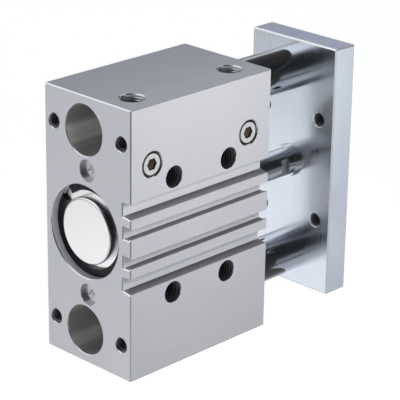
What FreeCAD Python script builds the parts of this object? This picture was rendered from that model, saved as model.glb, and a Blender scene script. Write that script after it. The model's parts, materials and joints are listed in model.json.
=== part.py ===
# Guided pneumatic cylinder: 50 mm bore, 50 mm stroke, two guide rods and a yoke plate.
#
# Frame: +X along the stroke, towards the yoke plate; +Z up; the slotted side faces -Y.
# The origin is the centre of the bolt pattern on the housing's rear face.
# The rods and the plate are drawn fully extended. All lengths are in millimetres.
import FreeCAD, Part
import math
import os

from FreeCAD import Vector

# ---- Driving dimensions: stroke and housing ----
STROKE = 50.0
HOUSING_BASE_LENGTH = 52.0          # housing length that is left at zero stroke
HOUSING_WIDTH = 64.0
HOUSING_HEIGHT = 148.0
HOUSING_CORNER_RADIUS = 0.6
HOUSING_END_CHAMFER = 0.55

# ---- Bores ----
BORE_OFFSET_Y = 2.5                 # the bores lie off centre, away from the sensor slots
PISTON_BORE = 50.0
CAP_SEAT_BORE = 51.0                # wider ends of the bore, with a shoulder for each cap
CAP_SEAT_CHAMFER = 0.4
GUIDE_BORE = 27.5
GUIDE_EDGE_DISTANCE = 18.5          # top or bottom face to the nearer guide rod's axis
GUIDE_BORE_CHAMFER = 0.3

# ---- Caps and retaining rings ----
REAR_RING_DEPTH = 4.4               # housing face to the ring's outer face
FRONT_RING_DEPTH = 2.0
RING_THICKNESS = 2.0
RING_GROOVE_DEPTH = 1.3
RING_WIDTH = 5.5                    # radial
RING_GAP_ANGLE = 9.5                # from the middle of the gap to each end of the ring
REAR_RING_TURN = 40.5               # direction of the gap, from +Y towards +Z
FRONT_RING_TURN = 90.0
CAP_CLEARANCE = 0.05                # radial, cap to seat
REAR_FLANGE_LENGTH = 4.0
FRONT_FLANGE_LENGTH = 9.0
CAP_NOSE_DIAMETER = 36.0
CAP_NOSE_LENGTH = 4.0
REAR_BOSS_DIAMETER = 36.4
REAR_BOSS_DEPTH = 1.2               # housing face to the boss's flat top
REAR_BOSS_ROUND = 1.3
FRONT_HUB_DIAMETER = 34.0
FRONT_HUB_HEIGHT = 1.6
CAP_SEAL_SECTION = 2.0
CAP_SEAL_GROOVE_WIDTH = 2.4
SEAL_GAP = 0.03                     # between a static seal and its groove or seat

# ---- Piston and its seals ----
END_GAP = 0.2                       # cushion ring to cap at each end of the stroke
PISTON_CLEARANCE = 0.15
CUSHION_PROUD = 1.2
CUSHION_SEAT_DEPTH = 1.2
CUSHION_INNER_DIAMETER = 27.0
CUSHION_OUTER_DIAMETER = 34.0
PISTON_SEAL_WIDTH = 3.0
PISTON_SEAL_DEPTH = 3.4
MAGNET_WIDTH = 3.0
MAGNET_DEPTH = 3.4
GUIDE_RING_WIDTH = 3.4
GUIDE_RING_DEPTH = 1.8
RING_SIDE_GAP = 0.1                 # ring to groove wall, each side
PISTON_RING_CLEARANCE = 0.04        # radial, rings and seals to the bore
NUT_ACROSS_FLATS = 18.0
NUT_HEIGHT = 7.0
NUT_POCKET_DIAMETER = 24.0
NUT_POCKET_DEPTH = 7.6
STUD_DIAMETER = 12.0                # threaded tail of the piston rod
ROD_SEAL_SECTION = 1.2              # static seal under the rod's shoulder

# ---- Rods ----
PISTON_ROD_DIAMETER = 16.0
GUIDE_ROD_DIAMETER = 25.0
ROD_RUNNING_CLEARANCE = 0.03        # radial, rods in their bushes
ROD_SEAL_CLEARANCE = 0.05
ROD_CHAMFER = 1.0
GUIDE_ROD_REAR_MARGIN = 4.0         # housing's rear face to the retracted guide rods
ROD_COLLAR_DIAMETER = 19.0
ROD_COLLAR_LENGTH = 3.2
WRENCH_FLAT_LENGTH = 6.0
WRENCH_FLAT_WIDTH = 13.0
WRENCH_FLAT_SETBACK = 3.0           # collar to the flats

# ---- Bushes and wipers ----
ROD_BUSH_OUTER_DIAMETER = 19.0
ROD_BUSH_LENGTH = 8.0
ROD_WIPER_OUTER_DIAMETER = 24.0
ROD_WIPER_LENGTH = 4.4
ROD_WIPER_LIP = 0.8
GUIDE_BUSH_FIT = 0.03               # radial, bushes and wipers in the guide bore
FRONT_BUSH_LENGTH = 24.0
INNER_BUSH_LENGTH = 12.0
INNER_BUSH_LEAD = 1.0               # end of the extended guide rod to the inner bush
GUIDE_WIPER_LENGTH = 4.0
GUIDE_WIPER_RECESS = 0.6
GUIDE_WIPER_LIP = 0.4

# ---- Yoke plate and its screws ----
PLATE_THICKNESS = 16.0
PLATE_WIDTH = 62.0
PLATE_HEIGHT = 146.0
PLATE_CHAMFER = 0.8
RETRACTED_GAP = 3.5                 # housing to plate when retracted
PLATE_THREAD_SPACING_Y = 40.0
PLATE_THREAD_SPACING_Z = 60.0
PLATE_THREAD_DIAMETER = 8.0
SCREW_DIAMETER = 10.0
SCREW_CLEARANCE_HOLE = 10.6
SCREW_HEAD_DIAMETER = 16.0
SCREW_HEAD_HEIGHT = 10.0
SCREW_HEAD_SINK = 0.8               # plate face to the top of the head
SCREW_REACH = 20.0                  # screw length beyond its head's seat
SCREW_SOCKET = 8.0
SCREW_SOCKET_DEPTH = 5.0
SCREW_THREAD_CLEARANCE = 0.05
COUNTERBORE_DIAMETER = 17.5
ROD_THREAD_SPARE = 4.0              # thread left beyond the screw's end

# ---- Threads and centring bores in the housing and the plate ----
REAR_THREAD_DIAMETER = 8.0
REAR_THREAD_DEPTH = 16.0
REAR_THREAD_SPACING_Y = 50.0
REAR_THREAD_SPACING_Z = 110.0
SIDE_THREAD_DIAMETER = 12.0
SIDE_THREAD_DEPTH = 20.0
SIDE_THROUGH_DIAMETER = 10.3
SIDE_HOLE_REAR_X = 30.5
SIDE_HOLE_SPACING_X = 40.0
SIDE_HOLE_SPACING_Z = 64.0
SMALL_THREAD_CHAMFER = 0.4
CENTRING_DIAMETER = 12.0
CENTRING_DEPTH = 2.6
CENTRING_SPACING = 68.8
CENTRING_POINT_DIAMETER = 4.0

# ---- Air ports ----
PORT_DIAMETER = 13.16
PORT_DEPTH = 12.0
PORT_CHAMFER = 0.65
REAR_PORT_X = 15.0
FRONT_PORT_INSET = 16.6             # housing's front face to the front ports
TOP_PORT_Y = -17.3
SIDE_PORT_Z = 42.5
PASSAGE_DIAMETER = 3.4
PLUG_LENGTH = 8.5
PLUG_RECESS = 0.35
PLUG_CLEARANCE = 0.06
PLUG_RIM_CHAMFER = 0.45
PLUG_SOCKET = 6.0
PLUG_SOCKET_DEPTH = 5.0

# ---- Grooves along the slotted side ----
CENTRE_RIB_WIDTH = 10.6
SENSOR_SLOT_MOUTH = 5.4
SENSOR_SLOT_WIDTH = 6.6
SENSOR_SLOT_DEPTH = 5.6
SENSOR_SLOT_LIP = 1.4
OUTER_RIB_WIDTH = 5.3
WIDE_GROOVE_MOUTH = 8.9
WIDE_GROOVE_FLOOR = 7.1
WIDE_GROOVE_DEPTH = 6.0

DRILL_POINT_ANGLE = 118.0
OVERCUT = 1.0                       # how far a cutting tool starts outside a face
SAME_PLACE = 1e-6                   # two places closer than this are the same

# ---- Places worked out from the dimensions above ----
HOUSING_LENGTH = HOUSING_BASE_LENGTH + STROKE
SIDE_Y = -HOUSING_WIDTH / 2
TOP_Z = HOUSING_HEIGHT / 2
REAR_CAP_FACE = REAR_RING_DEPTH + RING_THICKNESS
REAR_SHOULDER = REAR_CAP_FACE + REAR_FLANGE_LENGTH
REAR_STOP = REAR_SHOULDER + CAP_NOSE_LENGTH
FRONT_CAP_FACE = HOUSING_LENGTH - FRONT_RING_DEPTH - RING_THICKNESS
FRONT_SHOULDER = FRONT_CAP_FACE - FRONT_FLANGE_LENGTH
FRONT_STOP = FRONT_SHOULDER - CAP_NOSE_LENGTH
PISTON_FRONT = FRONT_STOP - END_GAP - CUSHION_PROUD
PISTON_REAR = REAR_STOP + END_GAP + CUSHION_PROUD + STROKE
PLATE_REAR = HOUSING_LENGTH + RETRACTED_GAP + STROKE
PLATE_FRONT = PLATE_REAR + PLATE_THICKNESS
GUIDE_ROD_REAR = GUIDE_ROD_REAR_MARGIN + STROKE
FRONT_PORT_X = HOUSING_LENGTH - FRONT_PORT_INSET
HEAD_SEAT = PLATE_FRONT - SCREW_HEAD_SINK - SCREW_HEAD_HEIGHT
GUIDE_HEIGHTS = {"top": TOP_Z - GUIDE_EDGE_DISTANCE, "bottom": GUIDE_EDGE_DISTANCE - TOP_Z}
ROD_HEIGHTS = (0.0, GUIDE_HEIGHTS["top"], GUIDE_HEIGHTS["bottom"])


# ---- Building blocks ----
def turned(profile, z=0.0):
    """Solid of revolution about a rod axis at height z, from a closed (x, radius) outline."""
    points = [Vector(x, BORE_OFFSET_Y, z + radius) for x, radius in profile]
    face = Part.Face(Part.makePolygon(points + points[:1]))
    return face.revolve(Vector(0, BORE_OFFSET_Y, z), Vector(1, 0, 0), 360)


def tube(start, end, inner_diameter, outer_diameter, z=0.0):
    """Plain sleeve along a rod axis."""
    inner, outer = inner_diameter / 2, outer_diameter / 2
    return turned([(start, inner), (end, inner), (end, outer), (start, outer)], z)


def rod(start, end, diameter, z=0.0, start_chamfer=0.0, end_chamfer=0.0):
    """Round bar along a rod axis, with a chamfer at each end where one is given."""
    radius = diameter / 2
    profile = [(start, 0), (start, radius - start_chamfer)]
    if start_chamfer:
        profile.append((start + start_chamfer, radius))
    profile.append((end - end_chamfer, radius))
    if end_chamfer:
        profile.append((end, radius - end_chamfer))
    profile.append((end, 0))
    return turned(profile, z)


def ring_seal(x, mean_diameter, section, z=0.0):
    """Round-section ring about a rod axis."""
    centre = Vector(x, BORE_OFFSET_Y, z)
    return Part.makeTorus(mean_diameter / 2, section / 2, centre, Vector(1, 0, 0))


def drill(mouth, direction, diameter, depth, chamfer=0.0, pointed=True):
    """Cutting tool for a drilled hole that enters a flat face at its mouth."""
    radius = diameter / 2
    start = mouth - direction * OVERCUT
    tool = Part.makeCylinder(radius, depth + OVERCUT, start, direction)
    if pointed:
        tip = radius / math.tan(math.radians(DRILL_POINT_ANGLE / 2))
        tool = tool.fuse(Part.makeCone(radius, 0, tip, mouth + direction * depth, direction))
    if chamfer:
        wide = radius + chamfer + OVERCUT
        tool = tool.fuse(Part.makeCone(wide, radius, chamfer + OVERCUT, start, direction))
    return tool


def hexagon(centre, direction, across_flats, length):
    """Hexagonal prism from its centre point along a direction, with two flats upright or level."""
    radius = across_flats / math.sqrt(3)
    across = direction.cross(Vector(0, 0, 1))
    up = Vector(0, 0, 1)
    corners = []
    for step in range(6):
        angle = math.radians(60 * step)
        corners.append(centre + across * (radius * math.cos(angle)) + up * (radius * math.sin(angle)))
    return Part.Face(Part.makePolygon(corners + corners[:1])).extrude(direction * length)


def four_corners(centre_a, centre_b, spacing_a, spacing_b):
    """The corners of a rectangular hole pattern as pairs of coordinates."""
    signs = [(-1, -1), (-1, 1), (1, -1), (1, 1)]
    return [(centre_a + a * spacing_a / 2, centre_b + b * spacing_b / 2) for a, b in signs]


def end_edges(shape, low, high):
    """Edges of a shape that lie in the planes x = low and x = high."""
    return [edge for edge in shape.Edges if edge.BoundBox.XLength < SAME_PLACE
            and min(abs(edge.CenterOfMass.x - low), abs(edge.CenterOfMass.x - high)) < SAME_PLACE]


# ---- Housing ----
def slot_tools():
    """Cutting tools for the sensor slots and the wide grooves, mirrored about the mid height."""
    slot_bottom = CENTRE_RIB_WIDTH / 2
    slot_top = slot_bottom + SENSOR_SLOT_MOUTH
    undercut = (SENSOR_SLOT_WIDTH - SENSOR_SLOT_MOUTH) / 2
    lip = SIDE_Y + SENSOR_SLOT_LIP
    floor = SIDE_Y + SENSOR_SLOT_DEPTH
    outside = SIDE_Y - OVERCUT
    slot = [(outside, slot_bottom), (lip, slot_bottom), (lip, slot_bottom - undercut),
            (floor, slot_bottom - undercut), (floor, slot_top + undercut),
            (lip, slot_top + undercut), (lip, slot_top), (outside, slot_top)]
    groove_bottom = slot_top + OUTER_RIB_WIDTH
    groove_top = groove_bottom + WIDE_GROOVE_MOUTH
    draft = (WIDE_GROOVE_MOUTH - WIDE_GROOVE_FLOOR) / 2
    groove_floor = SIDE_Y + WIDE_GROOVE_DEPTH
    flare = draft * OVERCUT / WIDE_GROOVE_DEPTH
    groove = [(outside, groove_bottom - flare), (groove_floor, groove_bottom + draft),
              (groove_floor, groove_top - draft), (outside, groove_top + flare)]
    tools = []
    for outline in (slot, groove):
        for side in (1, -1):
            points = [Vector(-OVERCUT, y, side * z) for y, z in outline]
            face = Part.Face(Part.makePolygon(points + points[:1]))
            tools.append(face.extrude(Vector(HOUSING_LENGTH + 2 * OVERCUT, 0, 0)))
    return tools


def piston_bore_tool():
    """Piston bore with a seat, a shoulder and a ring groove for the cap at each end."""
    seat, bore = CAP_SEAT_BORE / 2, PISTON_BORE / 2
    groove = seat + RING_GROOVE_DEPTH
    mouth = seat + CAP_SEAT_CHAMFER
    front = HOUSING_LENGTH
    front_ring = front - FRONT_RING_DEPTH
    return turned([
        (-OVERCUT, 0), (-OVERCUT, mouth + OVERCUT), (CAP_SEAT_CHAMFER, seat),
        (REAR_RING_DEPTH - SEAL_GAP, seat), (REAR_RING_DEPTH - SEAL_GAP, groove),
        (REAR_CAP_FACE + SEAL_GAP, groove), (REAR_CAP_FACE + SEAL_GAP, seat),
        (REAR_SHOULDER, seat), (REAR_SHOULDER, bore), (FRONT_SHOULDER, bore), (FRONT_SHOULDER, seat),
        (FRONT_CAP_FACE - SEAL_GAP, seat), (FRONT_CAP_FACE - SEAL_GAP, groove),
        (front_ring + SEAL_GAP, groove), (front_ring + SEAL_GAP, seat),
        (front - CAP_SEAT_CHAMFER, seat), (front + OVERCUT, mouth + OVERCUT), (front + OVERCUT, 0)])


def guide_bore_tool(z):
    """Through bore for one guide rod, with its edges broken at both faces."""
    radius = GUIDE_BORE / 2
    wide = radius + GUIDE_BORE_CHAMFER + OVERCUT
    front = HOUSING_LENGTH
    return turned([(-OVERCUT, 0), (-OVERCUT, wide), (GUIDE_BORE_CHAMFER, radius),
                   (front - GUIDE_BORE_CHAMFER, radius), (front + OVERCUT, wide), (front + OVERCUT, 0)], z)


def port_tools(port_x, passage_x):
    """Top port, side port and the passage that joins them to the end of the piston bore."""
    down, inward = Vector(0, 0, -1), Vector(0, 1, 0)
    top = drill(Vector(port_x, TOP_PORT_Y, TOP_Z), down, PORT_DIAMETER, PORT_DEPTH, PORT_CHAMFER)
    side = drill(Vector(port_x, SIDE_Y, SIDE_PORT_Z), inward, PORT_DIAMETER, PORT_DEPTH, PORT_CHAMFER)
    bore_side = BORE_OFFSET_Y - TOP_PORT_Y
    bore_entry = math.sqrt((PISTON_BORE / 2) ** 2 - bore_side ** 2)
    fall = TOP_Z - bore_entry + PASSAGE_DIAMETER
    passage = drill(Vector(passage_x, TOP_PORT_Y, TOP_Z), down, PASSAGE_DIAMETER, fall, pointed=False)
    link = drill(Vector(passage_x, SIDE_Y, SIDE_PORT_Z), inward, PASSAGE_DIAMETER,
                 TOP_PORT_Y - SIDE_Y, pointed=False)
    return [top, side, passage, link]


def centring_tool(x, y, z, direction):
    """Shallow flat-bottomed bore for a centring sleeve, with a small point left by the drill."""
    bore = drill(Vector(x, y, z), direction, CENTRING_DIAMETER, CENTRING_DEPTH, pointed=False)
    tip = CENTRING_POINT_DIAMETER / 2 / math.tan(math.radians(DRILL_POINT_ANGLE / 2))
    floor = Vector(x, y, z) + direction * CENTRING_DEPTH
    return bore.fuse(Part.makeCone(CENTRING_POINT_DIAMETER / 2, 0, tip, floor, direction))


def housing():
    """Aluminium housing with its bores, ports, slots and threaded holes."""
    block = Part.makeBox(HOUSING_LENGTH, HOUSING_WIDTH, HOUSING_HEIGHT, Vector(0, SIDE_Y, -TOP_Z))
    long_edges = [edge for edge in block.Edges if edge.BoundBox.XLength > HOUSING_LENGTH / 2]
    profile = block.makeFillet(HOUSING_CORNER_RADIUS, long_edges).cut(slot_tools())
    body = profile.makeChamfer(HOUSING_END_CHAMFER, end_edges(profile, 0, HOUSING_LENGTH))
    tools = []
    tools.append(piston_bore_tool())
    tools.extend(guide_bore_tool(z) for z in GUIDE_HEIGHTS.values())
    tools.extend(port_tools(REAR_PORT_X, (REAR_SHOULDER + REAR_STOP) / 2))
    tools.extend(port_tools(FRONT_PORT_X, (FRONT_STOP + FRONT_SHOULDER) / 2))
    for y, z in four_corners(0, 0, REAR_THREAD_SPACING_Y, REAR_THREAD_SPACING_Z):
        tools.append(drill(Vector(0, y, z), Vector(1, 0, 0), REAR_THREAD_DIAMETER,
                           REAR_THREAD_DEPTH, SMALL_THREAD_CHAMFER))
    for z in (CENTRING_SPACING / 2, -CENTRING_SPACING / 2):
        tools.append(centring_tool(0, 0, z, Vector(1, 0, 0)))
    side_middle = SIDE_HOLE_REAR_X + SIDE_HOLE_SPACING_X / 2
    for x, z in four_corners(side_middle, 0, SIDE_HOLE_SPACING_X, SIDE_HOLE_SPACING_Z):
        for side in (1, -1):
            mouth, inward = Vector(x, side * SIDE_Y, z), Vector(0, side, 0)
            tools.append(drill(mouth, inward, SIDE_THREAD_DIAMETER, SIDE_THREAD_DEPTH, pointed=False))
        tools.append(drill(Vector(x, SIDE_Y, z), Vector(0, 1, 0), SIDE_THROUGH_DIAMETER,
                           HOUSING_WIDTH + OVERCUT, pointed=False))
    return body.cut(tools)


# ---- Caps, rings, seals and bushes in the housing ----
def cap_seal_groove_radius():
    """Radius of the groove floor under a cap seal."""
    return CAP_SEAT_BORE / 2 - CAP_SEAL_SECTION - 2 * SEAL_GAP


def rear_end_cap():
    """Rear cap: raised boss outside, sealed flange, and a nose that stops the piston."""
    outer = CAP_SEAT_BORE / 2 - CAP_CLEARANCE
    boss, nose = REAR_BOSS_DIAMETER / 2, CAP_NOSE_DIAMETER / 2
    middle = (REAR_CAP_FACE + REAR_SHOULDER) / 2
    half = CAP_SEAL_GROOVE_WIDTH / 2
    floor = cap_seal_groove_radius()
    cap = turned([
        (REAR_BOSS_DEPTH, 0), (REAR_BOSS_DEPTH, boss), (REAR_CAP_FACE, boss), (REAR_CAP_FACE, outer),
        (middle - half, outer), (middle - half, floor), (middle + half, floor), (middle + half, outer),
        (REAR_SHOULDER, outer), (REAR_SHOULDER, nose), (REAR_STOP, nose), (REAR_STOP, 0)])
    rim = end_edges(cap, REAR_BOSS_DEPTH, REAR_BOSS_DEPTH)
    return cap.makeFillet(REAR_BOSS_ROUND, rim)


def front_bearing_cap():
    """Front cap: carries the rod bush and the rod wiper, and stops the piston with its nose."""
    outer, nose = CAP_SEAT_BORE / 2 - CAP_CLEARANCE, CAP_NOSE_DIAMETER / 2
    hub = FRONT_HUB_DIAMETER / 2
    hub_face = FRONT_CAP_FACE + FRONT_HUB_HEIGHT
    passage = PISTON_ROD_DIAMETER / 2 + 2 * ROD_SEAL_CLEARANCE
    bush = ROD_BUSH_OUTER_DIAMETER / 2
    wiper = ROD_WIPER_OUTER_DIAMETER / 2
    wiper_seat = hub_face - ROD_WIPER_LENGTH
    bush_start = wiper_seat - ROD_BUSH_LENGTH
    middle = (FRONT_SHOULDER + FRONT_CAP_FACE) / 2
    half = CAP_SEAL_GROOVE_WIDTH / 2
    floor = cap_seal_groove_radius()
    return turned([
        (FRONT_STOP, passage), (bush_start, passage), (bush_start, bush), (wiper_seat, bush),
        (wiper_seat, wiper), (hub_face, wiper), (hub_face, hub), (FRONT_CAP_FACE, hub),
        (FRONT_CAP_FACE, outer), (middle + half, outer), (middle + half, floor),
        (middle - half, floor), (middle - half, outer), (FRONT_SHOULDER, outer),
        (FRONT_SHOULDER, nose), (FRONT_STOP, nose)])


def cap_seal(start, end):
    """Ring seal in the groove of a cap flange that runs from start to end."""
    mean = CAP_SEAT_BORE - CAP_SEAL_SECTION - 2 * SEAL_GAP
    return ring_seal((start + end) / 2, mean, CAP_SEAL_SECTION)


def retaining_ring(start, turn):
    """Internal retaining ring with plain ends; its gap points at the given angle from +Y."""
    outer = CAP_SEAT_BORE / 2 + RING_GROOVE_DEPTH - SEAL_GAP
    ring = tube(start, start + RING_THICKNESS, 2 * (outer - RING_WIDTH), 2 * outer)
    centre = Vector(start, BORE_OFFSET_Y, 0)
    ends = [math.radians(turn + RING_GAP_ANGLE), math.radians(turn - RING_GAP_ANGLE)]
    corners = [centre + Vector(0, math.cos(end), math.sin(end)) * (2 * outer) for end in ends]
    outline = Part.makePolygon([centre] + corners + [centre])
    gap = Part.Face(outline).extrude(Vector(RING_THICKNESS, 0, 0))
    return ring.cut(gap)


def rod_bush():
    """Bronze bush that carries the piston rod in the front cap."""
    end = FRONT_CAP_FACE + FRONT_HUB_HEIGHT - ROD_WIPER_LENGTH
    inner = PISTON_ROD_DIAMETER + 2 * ROD_RUNNING_CLEARANCE
    return tube(end - ROD_BUSH_LENGTH, end, inner, ROD_BUSH_OUTER_DIAMETER - 2 * SEAL_GAP)


def lipped_wiper(start, end, bore_diameter, rod_diameter, lip, z=0.0):
    """Wiper ring whose outer lip leans on the rod."""
    outer = bore_diameter / 2 - SEAL_GAP
    inner = rod_diameter / 2 + ROD_SEAL_CLEARANCE
    relief = inner + lip
    return turned([(start, inner), (start + lip, inner), (start + 2 * lip, relief),
                   (end - 2 * lip, relief), (end - lip, inner), (end, inner),
                   (end, inner + lip), (end - lip, inner + 2 * lip), (end - lip, outer),
                   (start, outer)], z)


def rod_wiper():
    """Seal and wiper in front of the rod bush."""
    end = FRONT_CAP_FACE + FRONT_HUB_HEIGHT
    return lipped_wiper(end - ROD_WIPER_LENGTH, end, ROD_WIPER_OUTER_DIAMETER,
                        PISTON_ROD_DIAMETER, ROD_WIPER_LIP)


def guide_bush(start, length, z):
    """Plain bush for one guide rod."""
    return tube(start, start + length, GUIDE_ROD_DIAMETER + 2 * ROD_RUNNING_CLEARANCE,
                GUIDE_BORE - 2 * GUIDE_BUSH_FIT, z)


def guide_wiper(z):
    """Wiper at the front of one guide bore."""
    end = HOUSING_LENGTH - GUIDE_WIPER_RECESS
    return lipped_wiper(end - GUIDE_WIPER_LENGTH, end, GUIDE_BORE, GUIDE_ROD_DIAMETER,
                        GUIDE_WIPER_LIP, z)


def port_plug(port_x):
    """Screw plug with a hexagon socket in a side port."""
    radius = PORT_DIAMETER / 2 - PLUG_CLEARANCE
    inward = Vector(0, 1, 0)
    face = Vector(port_x, SIDE_Y + PLUG_RECESS, SIDE_PORT_Z)
    rim = Part.makeCone(radius - PLUG_RIM_CHAMFER, radius, PLUG_RIM_CHAMFER, face, inward)
    shank = Part.makeCylinder(radius, PLUG_LENGTH - PLUG_RIM_CHAMFER,
                              face + inward * PLUG_RIM_CHAMFER, inward)
    socket = hexagon(face, inward, PLUG_SOCKET, PLUG_SOCKET_DEPTH)
    return rim.fuse(shank).removeSplitter().cut(socket)


# ---- Piston and its rings ----
def piston_grooves():
    """Start, width and depth of each groove on the piston, evenly spaced from its rear end."""
    sizes = {"rear_seal": (PISTON_SEAL_WIDTH, PISTON_SEAL_DEPTH),
             "magnet": (MAGNET_WIDTH, MAGNET_DEPTH),
             "guide_ring": (GUIDE_RING_WIDTH, GUIDE_RING_DEPTH),
             "front_seal": (PISTON_SEAL_WIDTH, PISTON_SEAL_DEPTH)}
    grooved = sum(width for width, depth in sizes.values())
    land = (PISTON_FRONT - PISTON_REAR - grooved) / (len(sizes) + 1)
    grooves = {}
    start = PISTON_REAR + land
    for name, (width, depth) in sizes.items():
        grooves[name] = (start, width, depth)
        start += width + land
    return grooves


def piston():
    """Aluminium piston with ring grooves, cushion seats and a pocket for the nut."""
    radius = PISTON_BORE / 2 - PISTON_CLEARANCE
    profile = [(PISTON_REAR, 0), (PISTON_REAR, radius)]
    for start, width, depth in piston_grooves().values():
        profile += [(start, radius), (start, radius - depth),
                    (start + width, radius - depth), (start + width, radius)]
    profile += [(PISTON_FRONT, radius), (PISTON_FRONT, 0)]
    body = turned(profile)
    rear_seat = tube(PISTON_REAR, PISTON_REAR + CUSHION_SEAT_DEPTH,
                     CUSHION_INNER_DIAMETER, CUSHION_OUTER_DIAMETER)
    front_seat = tube(PISTON_FRONT - CUSHION_SEAT_DEPTH, PISTON_FRONT,
                      CUSHION_INNER_DIAMETER, CUSHION_OUTER_DIAMETER)
    stud_hole = rod(PISTON_REAR, PISTON_FRONT, STUD_DIAMETER + 2 * SEAL_GAP)
    pocket = rod(PISTON_REAR, PISTON_REAR + NUT_POCKET_DEPTH, NUT_POCKET_DIAMETER)
    seal_seat = rod(PISTON_FRONT - ROD_SEAL_SECTION - 2 * SEAL_GAP, PISTON_FRONT,
                    STUD_DIAMETER + 2 * ROD_SEAL_SECTION + 4 * SEAL_GAP)
    return body.cut([rear_seat, front_seat, stud_hole, pocket, seal_seat])


def piston_ring(groove):
    """Ring that fills one groove of the piston and runs in the bore."""
    start, width, depth = groove
    floor = PISTON_BORE / 2 - PISTON_CLEARANCE - depth
    return tube(start + RING_SIDE_GAP, start + width - RING_SIDE_GAP,
                2 * (floor + SEAL_GAP), PISTON_BORE - 2 * PISTON_RING_CLEARANCE)


def magnet():
    """Ring magnet, kept just below the piston's outside."""
    start, width, depth = piston_grooves()["magnet"]
    outer = PISTON_BORE - 2 * PISTON_CLEARANCE
    return tube(start + RING_SIDE_GAP, start + width - RING_SIDE_GAP,
                outer - 2 * depth + 2 * SEAL_GAP, outer - 2 * SEAL_GAP)


def cushion(start):
    """Elastic cushion ring that stands proud of one end of the piston."""
    return tube(start, start + CUSHION_SEAT_DEPTH + CUSHION_PROUD,
                CUSHION_INNER_DIAMETER + 2 * SEAL_GAP, CUSHION_OUTER_DIAMETER - 2 * SEAL_GAP)


def piston_nut():
    """Hexagon nut that clamps the piston against the rod's shoulder."""
    start = PISTON_REAR + NUT_POCKET_DEPTH - NUT_HEIGHT
    centre = Vector(start, BORE_OFFSET_Y, 0)
    nut = hexagon(centre, Vector(1, 0, 0), NUT_ACROSS_FLATS, NUT_HEIGHT)
    return nut.cut(rod(start, start + NUT_HEIGHT, STUD_DIAMETER + 2 * SEAL_GAP))


# ---- Rods, yoke plate and screws ----
def screw_hole(z):
    """Threaded hole for a yoke screw in the end of a rod."""
    bottom = HEAD_SEAT - SCREW_REACH - ROD_THREAD_SPARE
    return rod(bottom, PLATE_REAR + OVERCUT, SCREW_DIAMETER, z)


def piston_rod():
    """Piston rod: threaded tail, ground shank, wrench flats and a collar that seats on the plate."""
    radius, stud = PISTON_ROD_DIAMETER / 2, STUD_DIAMETER / 2
    collar = ROD_COLLAR_DIAMETER / 2
    collar_start = PLATE_REAR - ROD_COLLAR_LENGTH
    tail = PISTON_REAR + NUT_POCKET_DEPTH - NUT_HEIGHT
    shaft = turned([
        (tail, 0), (tail, stud - ROD_CHAMFER), (tail + ROD_CHAMFER, stud), (PISTON_FRONT, stud),
        (PISTON_FRONT, radius), (collar_start, radius), (collar_start, collar), (PLATE_REAR, collar),
        (PLATE_REAR, 0)])
    cuts = [screw_hole(0.0)]
    flats_start = collar_start - WRENCH_FLAT_SETBACK - WRENCH_FLAT_LENGTH
    for near_edge in (WRENCH_FLAT_WIDTH / 2, -WRENCH_FLAT_WIDTH / 2 - radius):
        corner = Vector(flats_start, BORE_OFFSET_Y + near_edge, -radius)
        cuts.append(Part.makeBox(WRENCH_FLAT_LENGTH, radius, 2 * radius, corner))
    return shaft.cut(cuts)


def guide_rod(z):
    """Hardened guide rod with a threaded hole in its front end."""
    bar = rod(GUIDE_ROD_REAR, PLATE_REAR, GUIDE_ROD_DIAMETER, z, ROD_CHAMFER)
    return bar.cut(screw_hole(z))


def yoke_plate():
    """Steel plate that joins the three rods, with threaded and centring holes for the load."""
    corner = Vector(PLATE_REAR, -PLATE_WIDTH / 2, -PLATE_HEIGHT / 2)
    plate = Part.makeBox(PLATE_THICKNESS, PLATE_WIDTH, PLATE_HEIGHT, corner)
    plate = plate.makeChamfer(PLATE_CHAMFER, plate.Edges)
    tools = []
    for z in ROD_HEIGHTS:
        tools.append(rod(PLATE_REAR - OVERCUT, PLATE_FRONT, SCREW_CLEARANCE_HOLE, z))
        tools.append(rod(HEAD_SEAT, PLATE_FRONT + OVERCUT, COUNTERBORE_DIAMETER, z))
    for y, z in four_corners(0, 0, PLATE_THREAD_SPACING_Y, PLATE_THREAD_SPACING_Z):
        tools.append(drill(Vector(PLATE_REAR, y, z), Vector(1, 0, 0), PLATE_THREAD_DIAMETER,
                           PLATE_THICKNESS + OVERCUT, SMALL_THREAD_CHAMFER, pointed=False))
        tools.append(drill(Vector(PLATE_FRONT, y, z), Vector(-1, 0, 0), PLATE_THREAD_DIAMETER,
                           PLATE_THICKNESS, SMALL_THREAD_CHAMFER, pointed=False))
    for z in (CENTRING_SPACING / 2, -CENTRING_SPACING / 2):
        tools.append(centring_tool(PLATE_FRONT, 0, z, Vector(-1, 0, 0)))
    return plate.cut(tools)


def yoke_screw(z):
    """Socket head cap screw through the plate into the end of a rod."""
    top = HEAD_SEAT + SCREW_HEAD_HEIGHT
    head = rod(HEAD_SEAT, top, SCREW_HEAD_DIAMETER, z, 0.0, ROD_CHAMFER)
    shank = rod(HEAD_SEAT - SCREW_REACH, HEAD_SEAT, SCREW_DIAMETER - 2 * SCREW_THREAD_CLEARANCE,
                z, ROD_CHAMFER)
    socket = hexagon(Vector(top, BORE_OFFSET_Y, z), Vector(-1, 0, 0), SCREW_SOCKET, SCREW_SOCKET_DEPTH)
    return head.fuse(shank).cut(socket)


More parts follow.
